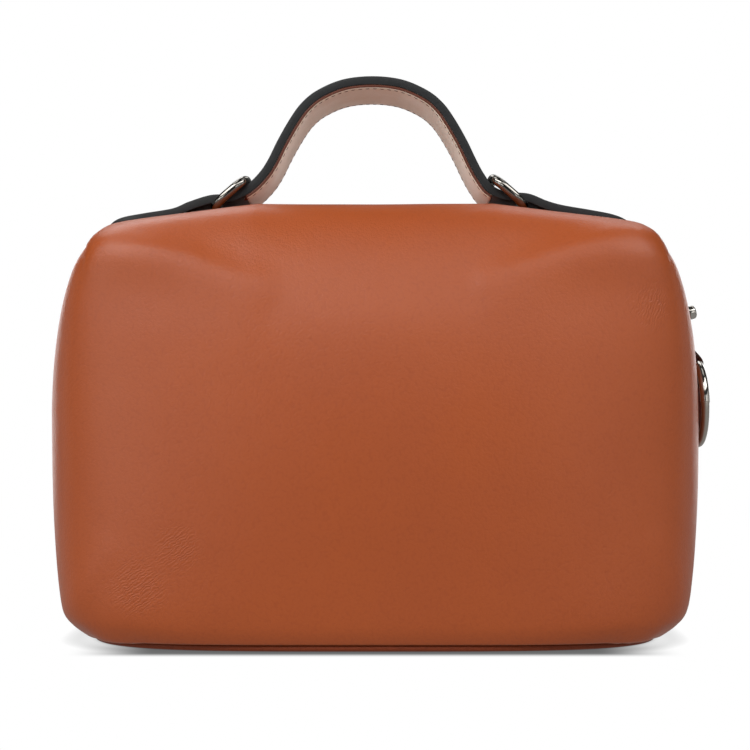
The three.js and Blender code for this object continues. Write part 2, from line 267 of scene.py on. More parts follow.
def sewingThread(name, colour, ply):
    # Bonded polyester thread, twisted: a dull cord with a fine slanting ply
    values = {"Base Color": linear(colour), "Roughness": 0.75, "Specular IOR Level": 0.08}
    material, tree, shader, place = newMaterial(name, values)
    twist = addNode(tree, "ShaderNodeTexWave", {"bands_direction": "DIAGONAL"}, {"Scale": waveScale(ply)},
                    {"Vector": place})
    bump = addNode(tree, "ShaderNodeBump", values={"Strength": 0.5, "Distance": 0.08 * mm},
                   links={"Height": twist.outputs["Fac"]})
    tree.links.new(bump.outputs["Normal"], shader.inputs["Normal"])
    return material


def zipTape(name, colour, deep, rib):
    # Woven polyester zip tape: close ribs across the tape and a dull surface
    material, tree, shader, place = newMaterial(name, {"Roughness": 0.85, "Specular IOR Level": 0.25})
    warp = addNode(tree, "ShaderNodeTexWave", {"bands_direction": "X"}, {"Scale": waveScale(rib)},
                   {"Vector": place})
    weft = addNode(tree, "ShaderNodeTexWave", {"bands_direction": "Y"}, {"Scale": waveScale(rib)},
                   {"Vector": place})
    weave = addNode(tree, "ShaderNodeMath", {"operation": "MULTIPLY"},
                    links={0: warp.outputs["Fac"], 1: weft.outputs["Fac"]})
    bump = addNode(tree, "ShaderNodeBump", values={"Strength": 0.6, "Distance": 0.15 * mm},
                   links={"Height": weave.outputs["Value"]})
    # the weave's low places painted darker: painted shade between the ribs
    tint = mixColours(tree, weave.outputs["Value"], deep, colour)
    tree.links.new(tint, shader.inputs["Base Color"])
    tree.links.new(bump.outputs["Normal"], shader.inputs["Normal"])
    return material


# patches of creases: centre, reach, and the turn of the folds in degrees
pressed = (((-67, -51, 18), 12, 38), ((-55, -51, 29), 10, 38), ((80, -44, 98), 12, 70))
terracotta = calfLeather("calf_drum_dyed_terracotta", "#ac4f1b", "#9f4515", 0.85, 0.40, 0.5, pressed)
# a darker, duller copy of the terracotta calf: painted shade on the base's lip under the body's overhang
# and on the end strip
shadedCalf = calfLeather("calf_painted_shade_brown", "#7a3519", "#682b13", 0.85, 0.5, 0.2)
blackCalf = calfLeather("calf_drum_dyed_black", "#18181a", "#101012", 0.7, 0.4)
tan = liningLeather("lining_leather_napped_tan", "#f8f4e6", "#eadfc9", 0.35)
blackEdge = edgePaint("edge_paint_brushed_black", "#1c1e1f", 1.6, 0.5)
brownEdge = edgePaint("edge_paint_brushed_brown", "#3a1c12", 1.6, 0.12)
rustEdge = edgePaint("edge_paint_brushed_rust", "#613222", 1.6, 0.3)
nickel = nickelPlate("nickel_plate_polished_dark", "#8a8680", 0.05, 1.2)
brightNickel = nickelPlate("nickel_plate_polished", "#b9b4ad", 0.07, 1.2)
satinNickel = nickelPlate("nickel_plate_satin", "#b5aea4", 0.32, 0.5)
rustThread = sewingThread("polyester_thread_twisted_rust", "#531a0b", 0.35)
blackThread = sewingThread("polyester_thread_twisted_black", "#17171a", 0.35)
brownTape = zipTape("polyester_tape_woven_brown", "#5a3020", "#371a10", 0.55)
print("materials ready")


# the leather body, lofted through its plan sections

body = {
    # each section: height, half width, half depth, nose, sag and squareness
    "sections": (
        (0, 85, 50.4, 0, 0, 4.2), (1.6, 86.8, 52.2, 0, 0, 4.3), (5, 91.4, 53.6, 1.5, 0.6, 4.8),
        (9.5, 94.8, 54.2, 4, 1.8, 5.8), (20, 97.7, 54.8, 8, 4, 7.5), (36, 99.8, 55.2, 11.5, 6, 9),
        (55, 100.7, 54.8, 13, 7, 9.5), (74, 100.9, 53.2, 13, 6.4, 9.5), (92, 99.6, 49.9, 11.6, 3.9, 9.5),
        (107, 97.0, 44.9, 9.4, -0.1, 9), (118, 93.1, 39.8, 7, -4.7, 8.5), (125, 88.1, 34.8, 5.2, -7.1, 8),
        (129, 84.2, 28.8, 4, -7.5, 8), (131, 82, 21, 3, -5.8, 8), (131.8, 80.4, 11, 1.5, -3, 8),
        (132, 79.6, 0.02, 0, 0, 8),
    ),
    "edgeX": 84, "edgeY": 46,       # where sag and nose are measured
    "sagPower": 2.6, "sagLimit": 1.2, "noseLimit": 1.3, "leastDepth": 0.01,
    "firstRow": 1.12,               # the base seam
    "cornerDrop": 1.3, "cornerRun": (0.8, 0.98), "dropFade": (2, 10),   # corners hang over the base's lip
    "droopStart": 36, "droopSlopes": (0.139, 0.13), "droopFade": (50, 124),
    "around": 264, "rows": 96, "wall": 2.0, "weld": 0.02, "sliver": 0.06,
    "outlineSearch": (0.5, 1.4, 22),     # sizes and steps of the search for a section's outline
    "rowSteps": 30, "topFrom": 8.0, "endTo": 12.0,   # the same for the sections at the top and the end
    "seamY": 22, "seamGap": 0.01, "slotHalfLength": 76.2, "slotHalfWidth": 4.7, "slotFloor": 100,
    "rolls": (0.35, 0.9, 1.8, 3.2), "rollDepth": 1.0, "rollPower": 2.5, "baseSeam": 1, "baseRoll": 3.0,
    "waves": ((46, 0.34), (21, 0.12)),   # wavelength and height of the soft undulation
    "waveFade": (2, 14),
    # soft ridges that run in from the corners: points across and up, height, spread above and below
    "ridges": (
        (((-28, 103), (-42, 106.5), (-56, 112), (-70, 115.2), (-80, 117), (-86, 117)), 1.8, 4.5, 10),
        (((28, 104), (44, 109.5), (59, 115), (70, 117.8), (80, 119), (87, 119)), 2.0, 4.5, 11),
        (((-92, 4), (-87, 11), (-82, 20), (-74, 32)), 0.7, 4, 4),
        (((93, 4), (89, 11), (86, 20), (80, 34)), 0.5, 5, 5),
    ),
    "ridgeSteps": 5, "ridgePower": 0.7,
    "ridgeDepth": (18, 34),              # the ridges are on the faces, away from the top's middle
}


def sectionAt(row):
    i = min(int(row), len(body["sections"]) - 2)
    return between(body["sections"], i, row - i)


def droopAt(x, height):
    # how far the top falls towards the ends
    slope = body["droopSlopes"][1 if x > 0 else 0]
    return slope * max(0, abs(x) - body["droopStart"]) * smoothStep(height, *body["droopFade"])


def fullness(x, y, section):
    # 1 on the section's outline: a squarish ring whose ends and faces bulge between its corners
    halfWidth, halfDepth, nose, sag, squareness = section[1:]
    reach = halfWidth - nose * min(body["noseLimit"], abs(y) / body["edgeY"]) ** 2
    hollow = sag * min(body["sagLimit"], abs(x) / body["edgeX"]) ** body["sagPower"]
    depth = max(body["leastDepth"], halfDepth - hollow)
    return (abs(x) / reach) ** squareness + (abs(y) / depth) ** squareness


def bodyPoint(u, v, row):
    # u and v lie on the edge of a unit square, which is drawn in to the section's outline
    section = sectionAt(row)
    height, halfWidth, halfDepth = section[:3]

    def isInside(size):
        return fullness(u * size * halfWidth, v * size * halfDepth, section) < 1

    size = lastThat(isInside, *body["outlineSearch"])
    x = u * size * halfWidth
    return Vector((x, v * size * halfDepth, height - droopAt(x, height)))


def squareWalk(t):
    # once round the unit square from the middle of its +Y side, with more steps on the long sides
    long, short = 1.8, 1.0
    way = (t % 1) * 4 * (long + short)
    legs = (((0, 1), (1, 0), long), ((1, 1), (0, -1), 2 * short), ((1, -1), (-1, 0), 2 * long),
            ((-1, -1), (0, 1), 2 * short), ((-1, 1), (1, 0), long))
    for corner, (ux, uy), length in legs:
        if way <= length:
            unit = long if ux else short
            return corner[0] + ux * way / unit, corner[1] + uy * way / unit
        way -= length
    return 0, 1


def topAt(x, y):
    # height of the top at a plan point: the highest section that still holds it
    def isInside(row):
        return fullness(x, y, sectionAt(row)) < 1

    row = lastThat(isInside, body["topFrom"], len(body["sections"]) - 1.0, body["rowSteps"])
    height = sectionAt(row)[0]
    return height - droopAt(x, height)


def endReach(y, z):
    # how far the right end reaches at a height, near its middle
    def isBelow(row):
        height, halfWidth = sectionAt(row)[:2]
        return height - droopAt(halfWidth, height) < z

    section = sectionAt(lastThat(isBelow, 0.0, body["endTo"], body["rowSteps"]))
    return section[1] - section[3] * (y / body["edgeY"]) ** 2


def bodyShell():
    bm = bmesh.new()
    bmesh.ops.create_grid(bm, x_segments=body["around"], y_segments=body["rows"], size=1)
    first, last = body["firstRow"], len(body["sections"]) - 1
    for vert in bm.verts:
        u, v = squareWalk((vert.co.x + 1) / 2)
        vert.co = bodyPoint(u, v, first + (vert.co.y + 1) / 2 * (last - first))
        low = 1 - smoothStep(vert.co.z, *body["dropFade"])
        vert.co.z -= body["cornerDrop"] * low * smoothStep(abs(u * v), *body["cornerRun"])
    bmesh.ops.remove_doubles(bm, verts=bm.verts, dist=body["weld"])   # the side line and the ridge close up
    bmesh.ops.recalc_face_normals(bm, faces=bm.faces)
    return bm


def ridgeLift(point, ridges):
    lift = 0.0
    for line, height, above, below in ridges:
        gap, i = min(((point.x - x) ** 2 + (point.z - z) ** 2, i) for i, (x, z) in enumerate(line))
        spread = above if point.z > line[i][1] else below
        swell = math.sin(math.pi * i / (len(line) - 1)) ** body["ridgePower"]
        lift += height * swell * math.exp(-gap / spread ** 2)
    return lift * smoothStep(abs(point.y), *body["ridgeDepth"])


def soften(bm):
    # worn-in leather is never quite even: low waves and ridges, which die out at the base seam
    bm.normal_update()
    ridges = [(smoothLine(line, body["ridgeSteps"]), *sizes) for line, *sizes in body["ridges"]]
    moves = []
    for vert in bm.verts:
        lift = sum(noise.noise(vert.co / length) * height for length, height in body["waves"])
        lift += ridgeLift(vert.co, ridges)
        moves.append(vert.normal * lift * smoothStep(vert.co.z, *body["waveFade"]))
    for vert, move in zip(bm.verts, moves):
        vert.co += move


def cutLine(bm, where, normal, aboveFloor, clear=False):
    # a row of edges along a plane, over the whole shell or on its top only
    faces = [f for f in bm.faces if not aboveFloor or f.calc_center_median().z > body["slotFloor"]]
    verts = dict.fromkeys(v for f in faces for v in f.verts)   # each once, in the order of the faces
    edges = dict.fromkeys(e for f in faces for e in f.edges)
    geom = [*verts, *edges, *faces]
    bmesh.ops.bisect_plane(bm, geom=geom, dist=1e-4, plane_co=where, plane_no=normal, clear_outer=clear)


def seamDistance(point, facing):
    # how far a point lies from the edge that is turned in: the end seams, the zip's slot or the base
    edge = facing * (body["seamY"] - point.y) - body["seamGap"]
    if point.z > body["slotFloor"]:
        beyond = max(0.0, abs(point.x) - body["slotHalfLength"])
        beside = max(0.0, facing * (body["seamY"] - point.y) - body["slotHalfWidth"])
        edge = min(edge, math.hypot(beyond, beside))
    return min(edge, max(0.0, point.z - body["baseSeam"]) * body["baseRoll"])


def leatherPanel(name, node, shell, facing):
    # facing is +1 for the panel on the -Y side of the seam and -1 for the other
    bm = shell.copy()
    edgeY = body["seamY"] - facing * body["seamGap"]
    cutLine(bm, (0, edgeY, 0), (0, facing, 0), False, True)
    for roll in body["rolls"]:
        cutLine(bm, (0, edgeY - facing * roll, 0), (0, 1, 0), False)
    for roll in (0,) + body["rolls"]:
        cutLine(bm, (0, body["seamY"] - facing * (body["slotHalfWidth"] + roll), 0), (0, 1, 0), True)
        for side in (-1, 1):
            cutLine(bm, (side * (body["slotHalfLength"] + roll), 0, 0), (1, 0, 0), True)
    gone = []
    for face in bm.faces:
        x, y, z = face.calc_center_median()
        isBeside = abs(y - body["seamY"]) < body["slotHalfWidth"]
        if isBeside and abs(x) < body["slotHalfLength"] and z > body["slotFloor"]:
            gone.append(face)
    bmesh.ops.delete(bm, geom=gone, context="FACES")
    bmesh.ops.remove_doubles(bm, verts=bm.verts, dist=body["sliver"])   # slivers left by the cuts
    bmesh.ops.dissolve_degenerate(bm, edges=bm.edges, dist=body["weld"])
    bm.normal_update()
    turned = []
    for vert in bm.verts:
        near = max(0.0, 1 - seamDistance(vert.co, facing) / body["rolls"][-1])
        turned.append(vert.normal * -body["rollDepth"] * near ** body["rollPower"])
    for vert, move in zip(bm.verts, turned):
        vert.co += move
    panel = makePiece(name, bm, [terracotta], "bag", [node])
    addModifier(panel, "SOLIDIFY", thickness=body["wall"] * mm, offset=-1.0)


shell = bodyShell()
soften(shell)
leatherPanel("rear_panel_leather", "rear_panel", shell, 1)
leatherPanel("front_panel_leather", "front_panel", shell, -1)
shell.free()
print("body panels ready")


# the flat base with its lip

base = {"halfWidth": 85.4, "halfDepth": 52.0, "squareness": 3.7, "points": 240,
        "thickness": 1.8, "edge": 0.8, "edgeSteps": 5}


def basePanel():
    bm = bmesh.new()
    bmesh.ops.create_circle(bm, cap_ends=True, segments=base["points"], radius=1)
    power = base["squareness"]
    for i, vert in enumerate(bm.verts):
        u, v = squareWalk(i / base["points"])
        inward = (abs(u) ** power + abs(v) ** power) ** (-1 / power)
        vert.co = (u * inward * base["halfWidth"], v * inward * base["halfDepth"], 0)
    grown = bmesh.ops.extrude_face_region(bm, geom=bm.faces[:])
    up = [v for v in grown["geom"] if isinstance(v, bmesh.types.BMVert)]
    bmesh.ops.translate(bm, vec=(0, 0, base["thickness"]), verts=up)
    bmesh.ops.recalc_face_normals(bm, faces=bm.faces)
    rim = [e for e in bm.edges if abs(e.verts[0].co.z - e.verts[1].co.z) < 1e-6]
    roundEdges(bm, rim, base["edge"], base["edgeSteps"])
    # the lip takes the darker calf: painted shade under the body's overhang
    makePiece("base_panel_leather", bm, [shadedCalf], "bag", ["base_panel"])


basePanel()
print("base ready")


# the handle: black strap, tan lining, stitches and rings

handle = {
    # the strap's middle line from the left tip to the right one: across and up, or across and the rise
    # above the bag's top where the tongues lie on it and thin out
    "left": ((-85.6, -0.9), (-80.9, -0.5), (-72.5, -0.2), (-62.7, 0.1), (-57.4, 131.9), (-51, 133.9),
             (-45, 134.4), (-39.6, 137), (-35.3, 141), (-32.3, 145.4), (-29.2, 151.7), (-25.4, 158.4),
             (-21.9, 163.2), (-17.3, 166.9), (-9.8, 170.1)),
    "right": ((-0.85, 171.1), (8.1, 170.1), (15.6, 166.9), (20.2, 163.2), (23.7, 158.4), (27.5, 151.7),
              (30.5, 145.4), (32.9, 141), (36, 137), (40.9, 134.9), (47.4, 134.4), (53, 132.2), (58.2, 0.3),
              (67.4, -0.1), (75.8, -0.7), (82, -1.4)),
    "riseLimit": 9, "perSpan": 7, "columns": 6,   # a number under the limit is a rise
    "halfWidth": 12.25, "thickness": 2.5, "rest": 0.1,
    "liningThickness": 1.2, "liningFloor": 135.9, "liningGap": 0.02,
    "strapEdge": 0.75, "liningEdge": 0.45,        # how far the edges are rounded
    "stitchPitch": 2.4, "stitchLength": 2.0, "stitchInset": 1.0,
    "liningStitch": (0.4, 0.26), "strapStitch": (0.26, 0.15),   # radius, and how far its middle is sunk
    # across, up and slant in degrees
    "rings": {"handle_ring_left": (-45.05, 135.7, -41.2), "handle_ring_right": (41.5, 136.15, 41.2)},
    "wire": 1.5, "corner": 4.6, "ringHalfLength": 14.4, "ringHalfSlant": 6.4,
    "wireSides": 20, "ringSteps": 72,
}
handle["tips"] = (handle["left"][0][0], handle["right"][-1][0])


def strapPath():
    # points along the strap's middle line, each with the direction up from the leather and the one along it
    lying = handle["thickness"] / 2 + handle["rest"]
    points = []
    for x, z in handle["left"] + handle["right"]:
        points.append((x, z if z > handle["riseLimit"] else topAt(x, 0) + lying + z))
    line = smoothLine(points, handle["perSpan"])
    path = []
    for i, (x, z) in enumerate(line):
        before, after = line[max(i - 1, 0)], line[min(i + 1, len(line) - 1)]
        along = Vector((after[0] - before[0], 0, after[1] - before[1])).normalized()
        path.append((Vector((x, 0, z)), Vector((-along.z, 0, along.x)), along))
    return path


def tongueHalfWidth(x):
    # the tongues end in half circles
    left = min(handle["halfWidth"], max(0.0, min(x - handle["tips"][0], handle["tips"][1] - x)))
    return math.sqrt(max(0.0, handle["halfWidth"] ** 2 - (handle["halfWidth"] - left) ** 2))


def ribbon(path, lift):
    bm = bmesh.new()
    spans = len(path) - 1
    bmesh.ops.create_grid(bm, x_segments=spans, y_segments=handle["columns"], size=1)
    for vert in bm.verts:
        point, up = path[round((vert.co.x + 1) / 2 * spans)][:2]
        across = vert.co.y * tongueHalfWidth(point.x)
        vert.co = point + up * lift + Vector((0, across, 0))
    closeSheet(bm, 2)
    return bm


def cutStrap(name, path, lift, thickness, edgeRound, materials, node):
    strap = makePiece(name, ribbon(path, lift), materials, "bag", [node])
    thicken(strap, thickness, edgeRound)


def stitchRow(bm, path, lift, inset, radius):
    # a row of short stitches, evenly spaced along the path
    walked, due = 0.0, 0.0
    for i in range(1, len(path)):
        step = (path[i][0] - path[i - 1][0]).length
        while due <= walked + step:
            t = (due - walked) / step
            point = path[i - 1][0].lerp(path[i][0], t)
            up, along = path[i][1:]
            halfWidth = tongueHalfWidth(point.x)
            if halfWidth > 2 * abs(inset):
                side = math.copysign(halfWidth - abs(inset), inset)
                turn = Matrix((along, Vector((0, 1, 0)), up)).transposed().to_4x4()
                size = Matrix.Diagonal((handle["stitchLength"] / 2, radius, radius, 1))
                place = Matrix.Translation(point + up * lift + Vector((0, side, 0)))
                bmesh.ops.create_icosphere(bm, subdivisions=2, radius=1, matrix=place @ turn @ size)
            due += handle["stitchPitch"]
        walked += step


def wireRing(wire, corner, halfSlant, halfLength, sides, steps):
    # a round wire spun to a ring, then drawn apart into a rectangle with round corners
    bm = bmesh.new()
    start = Matrix.Rotation(math.pi / steps, 4, "Z") @ Matrix.Translation((corner, 0, 0))
    upright = start @ Matrix.Rotation(math.pi / 2, 4, "X")
    bmesh.ops.create_circle(bm, segments=sides, radius=wire, matrix=upright)
    spinRound(bm, bm.verts[:] + bm.edges[:], (0, 0, 1), steps)
    for vert in bm.verts:
        vert.co.x += math.copysign(halfSlant - corner, vert.co.x)
        vert.co.y += math.copysign(halfLength - corner, vert.co.y)
    bmesh.ops.recalc_face_normals(bm, faces=bm.faces)
    return bm


path = strapPath()
arch = [stop for stop in path if stop[0].z > handle["liningFloor"]]
cutStrap("handle_strap_leather", path, 0, handle["thickness"], handle["strapEdge"],
         [blackCalf, blackEdge], "handle_strap")
liningLift = -(handle["thickness"] + handle["liningThickness"]) / 2 - handle["liningGap"]
cutStrap("handle_lining_leather", arch, liningLift, handle["liningThickness"], handle["liningEdge"],
         [tan, rustEdge], "handle_lining")

for name, stops, face, thread, slot in (
        ("lining", arch, liningLift - handle["liningThickness"] / 2, rustThread, "lining_leather"),
        ("strap", path, handle["thickness"] / 2, blackThread, "black_calf")):
    threads = bmesh.new()
    radius, sunk = handle[name + "Stitch"]
    for inset in (-handle["stitchInset"], handle["stitchInset"]):
        stitchRow(threads, stops, face - math.copysign(sunk, face), inset, radius)
    makePiece("handle_" + name + "_stitches", threads, [thread], "bag")

for node, (x, z, slant) in handle["rings"].items():
    bm = wireRing(handle["wire"], handle["corner"], handle["ringHalfSlant"], handle["ringHalfLength"],
                  handle["wireSides"], handle["ringSteps"])
    place = Matrix.Translation((x, 0, z)) @ Matrix.Rotation(math.radians(slant), 4, "Y")
    bmesh.ops.transform(bm, matrix=place, verts=bm.verts)
    makePiece(node + "_metal", bm, [nickel], "bag", [node])
print("handle ready")


# the zip on the top, beyond the handle

zipper = {
    "y": 22, "halfLength": 76,
    "tapeHalf": 4.6, "tapeSink": 1.15, "tapeThickness": 0.7, "tapeGrid": (110, 8),
    "toothPitch": 1.7, "toothSize": (1.0, 3.0, 1.5), "toothShift": 0.75, "toothRise": -0.25,
    "toothMargin": 3, "toothEdge": 0.25,
    "sliderX": -61, "sliderSize": (9, 7, 2.6), "sliderRise": 1.1, "sliderTaper": 0.72, "sliderEdge": 0.8,
    "pullSize": (20, 4.8, 1.2), "pullRise": 1.9, "pullOverlap": 2, "pullCorner": 2.0, "pullEdge": 0.3,
}


def onTop(x, y, rise):
    # a frame on the top's surface: place, and the tilt that follows the fall towards the ends
    here, ahead = topAt(x, y), topAt(x + 1, y)
    return Matrix.Translation((x, y, here + rise)) @ Matrix.Rotation(-math.atan(ahead - here), 4, "Y")


def boxOnTop(bm, x, y, rise, size):
    bmesh.ops.create_cube(bm, size=1, matrix=onTop(x, y, rise) @ Matrix.Diagonal((*size, 1)))


def zipTapes():
    bm = bmesh.new()
    along, across = zipper["tapeGrid"]
    bmesh.ops.create_grid(bm, x_segments=along, y_segments=across, size=1)
    for vert in bm.verts:
        x, y = vert.co.x * zipper["halfLength"], zipper["y"] + vert.co.y * zipper["tapeHalf"]
        vert.co = (x, y, topAt(x, y) - zipper["tapeSink"])
    bmesh.ops.recalc_face_normals(bm, faces=bm.faces)
    tape = makePiece("zip_tape", bm, [brownTape], "bag", ["zip"])
    addModifier(tape, "SOLIDIFY", thickness=zipper["tapeThickness"] * mm, offset=0.0)


def zipTeeth():
    bm = bmesh.new()
    count = int(2 * (zipper["halfLength"] - zipper["toothMargin"]) / zipper["toothPitch"])
    for i in range(count):
        x = (i - (count - 1) / 2) * zipper["toothPitch"]
        y = zipper["y"] + zipper["toothShift"] * (1 if i % 2 else -1)
        boxOnTop(bm, x, y, zipper["toothRise"], zipper["toothSize"])
    roundEdges(bm, bm.edges[:], zipper["toothEdge"], 1)
    makePiece("zip_teeth", bm, [satinNickel], "bag")


def zipSlider():
    bm = bmesh.new()
    boxOnTop(bm, zipper["sliderX"], zipper["y"], zipper["sliderRise"], zipper["sliderSize"])
    for vert in bm.verts:   # narrower towards the closed end
        if vert.co.x < zipper["sliderX"]:
            vert.co.y = zipper["y"] + (vert.co.y - zipper["y"]) * zipper["sliderTaper"]
    roundEdges(bm, bm.edges[:], zipper["sliderEdge"], 4)
    makePiece("zip_slider", bm, [nickel], "bag")


def zipPull():
    # a leather tongue with round corners, laid flat from the slider
    bm = bmesh.new()
    reach = zipper["sliderSize"][0] / 2 + zipper["pullSize"][0] / 2 - zipper["pullOverlap"]
    boxOnTop(bm, zipper["sliderX"] + reach, zipper["y"], zipper["pullRise"], zipper["pullSize"])
    upright, sharp = 0.9, 1.2   # a corner's least slope, and the least angle of an edge that is rounded
    corners = [e for e in bm.edges if abs((e.verts[0].co - e.verts[1].co).normalized().z) > upright]
    roundEdges(bm, corners, zipper["pullCorner"], 6)
    roundEdges(bm, [e for e in bm.edges if e.calc_face_angle(0) > sharp], zipper["pullEdge"], 2)
    makePiece("zip_pull", bm, [terracotta], "bag")


zipTapes()
zipTeeth()
zipSlider()
zipPull()
print("zip ready")


# the right end: strip, stud and ring

end = {
    "thickness": 0.8, "edgeRound": 0.25, "rows": 110, "columns": 10,
    "top": 102, "topRadius": 6.4, "tail": 63.6, "tailRadius": 3.4,
    "neckTop": 89, "neckWidth": 2.4, "neckRun": 6,
    "y": 0, "sit": 0.3, "lift": 2.75, "halfSpan": 5.5, "tailLift": 1.7, "tailRun": (73, 81),
    "studZ": 98.9, "studRadius": 2.2, "studHeight": 3.7, "studSteps": 40, "leanRun": 3,
    # the stud's outline from its foot to the middle of its head, as shares of radius and height
    "studOutline": ((0.75, 0), (0.75, 0.25), (0.98, 0.33), (1, 0.42), (1, 0.74), (0.95, 0.86), (0.8, 0.95),
                    (0.4, 0.99), (0, 1)),
    "ringRadius": 12.6, "wire": 1.45, "wireSides": 20, "ringSteps": 96,
    "tilt": 1.6, "flat": 0.85, "ringShift": 2.0,
}
pivot = Vector(frame["joints"][0]["pos_m"]) / mm


def stripHalfWidth(z):
    # a round top, a narrow neck where the ring hangs and a round tail
    if z > end["top"]:
        return math.sqrt(max(0.0, end["topRadius"] ** 2 - (z - end["top"]) ** 2))
    if z < end["tail"]:
        return math.sqrt(max(0.0, end["tailRadius"] ** 2 - (end["tail"] - z) ** 2))
    if z > pivot.z:
        wide, near, far = end["topRadius"], end["neckTop"], end["top"]
    else:
        wide, near, far = end["tailRadius"], end["tail"] + end["neckRun"], end["tail"]
    return end["neckWidth"] + (wide - end["neckWidth"]) * smoothStep((z - near) / (far - near), 0, 1)


def endStrip():
    bm = bmesh.new()
    bmesh.ops.create_grid(bm, x_segments=end["rows"], y_segments=end["columns"], size=1)
    top, bottom = end["top"] + end["topRadius"], end["tail"] - end["tailRadius"]
    for vert in bm.verts:
        z = top + (bottom - top) * (vert.co.x + 1) / 2
        y = end["y"] + vert.co.y * stripHalfWidth(z)
        fromRing = min(1.0, abs(z - pivot.z) / end["halfSpan"])
        raised = end["lift"] * (0.5 + 0.5 * math.cos(fromRing * math.pi))   # over the ring's wire
        curled = end["tailLift"] * (1 - smoothStep(z, *end["tailRun"]))
        vert.co = (endReach(y, z) + end["sit"] + end["thickness"] / 2 + raised + curled, y, z)
    closeSheet(bm, 0)
    # the strip takes the darker calf: painted shade on the strip
    strip = makePiece("end_tab_leather", bm, [shadedCalf, brownEdge], "bag", ["end_tab"])
    thicken(strip, end["thickness"], end["edgeRound"])


def endStud():
    bm = bmesh.new()
    radius, height = end["studRadius"], end["studHeight"]
    verts = [bm.verts.new((height * h, radius * r, 0)) for r, h in end["studOutline"]]
    edges = [bm.edges.new(pair) for pair in zip(verts, verts[1:])]
    spinRound(bm, verts + edges, (1, 0, 0), end["studSteps"])
    bmesh.ops.recalc_face_normals(bm, faces=bm.faces)
    z, run = end["studZ"], end["leanRun"]
    lean = math.atan2(endReach(0, z - run) - endReach(0, z + run), 2 * run)
    place = Matrix.Translation((endReach(0, z) + end["sit"] + end["thickness"], end["y"], z))
    bmesh.ops.transform(bm, matrix=place @ Matrix.Rotation(-lean, 4, "Y"), verts=bm.verts)
    makePiece("end_stud_metal", bm, [brightNickel], "bag", ["end_stud"])


def endRing():
    # round bright wire above, a flatter satin bar below
    radius = end["ringRadius"]
    bm = wireRing(end["wire"], radius, radius, radius, end["wireSides"], end["ringSteps"])
    bmesh.ops.rotate(bm, cent=(0, 0, 0), matrix=Matrix.Rotation(math.pi / 2, 3, "Y"), verts=bm.verts)
    for vert in bm.verts:
        if vert.co.z < 0:
            vert.co.x *= end["flat"]
    for face in bm.faces:
        face.material_index = 1 if face.calc_center_median().z < 0 else 0
    bmesh.ops.translate(bm, vec=(0, 0, -radius), verts=bm.verts)
    # the shift is along the hinge, so the ring still turns true
    hang = Matrix.Translation(pivot + Vector((0, end["ringShift"], 0)))
    tilt = Matrix.Rotation(-math.radians(end["tilt"]), 4, "Y")
    bmesh.ops.transform(bm, matrix=hang @ tilt, verts=bm.verts)
    makePiece("end_ring_metal", bm, [brightNickel, satinNickel], "strap_ring", ["end_ring"])


endStrip()
endStud()
endRing()
print("end pieces ready")


# floor, light and camera

studio = {
    "floorSize": 2.4, "floorFade": (0.45, 0.85), "floorBounce": 0.4,
    # the painted shade on the paper: where it fades beyond the base, how dark it is, and the line of
    # contact
    "footprint": {"X": (62, 87), "Y": (54, 61.5)}, "footShade": 0.82,
    "floorContact": 6, "contactShade": 0.4, "contactSamples": 16,
    "cameraPlace": (0, -0.470, 0.064), "cameraPitch": 1.9, "lens": 71.04, "sensor": 36, "clipStart": 0.01,
    # softboxes round the bag: bearing and height in degrees from the camera's side, width, height, watts
    "lampReach": 1.25, "lampAim": (0, 0, 0.07),
    "lamps": {
        "softbox_left": (-60, 42, 0.5, 0.45, 3.1), "softbox_left_low": (-50, 8, 0.45, 0.45, 1.6),
        "softbox_left_side": (-75, 8, 0.45, 0.45, 0.6), "softbox_left_top": (-90, 68, 0.5, 0.45, 1.4),
        "softbox_front_left": (-30, 42, 0.5, 0.45, 4.2),
        "softbox_front_left_low": (-25, 8, 0.45, 0.45, 1.2), "softbox_front": (0, 42, 0.5, 0.45, 1.0),
        "softbox_front_right_low": (25, 8, 0.45, 0.45, 0.9),
        "softbox_front_right": (30, 42, 0.5, 0.45, 2.1), "softbox_right": (60, 42, 0.5, 0.45, 3.2),
        "softbox_right_low": (50, 8, 0.45, 0.45, 0.6), "softbox_right_side": (75, 8, 0.45, 0.45, 0.5),
        "softbox_right_top": (90, 68, 0.5, 0.45, 0.5),
        "softbox_rim_left": (-115, 6, 0.5, 0.5, 0.4), "softbox_rim_right": (115, 6, 0.5, 0.5, 0.4),
        "softbox_back_left": (-155, 6, 0.5, 0.5, 2.0), "softbox_back_right": (155, 6, 0.5, 0.5, 2.0),
        "softbox_behind_left": (-155, 48, 0.5, 0.5, 2.2), "softbox_behind_right": (155, 48, 0.5, 0.5, 1.3),
    },
    "room": (0.05, 0.2), "roomTurn": (0.58, 0.95),   # its light in front and behind, and where that changes
}


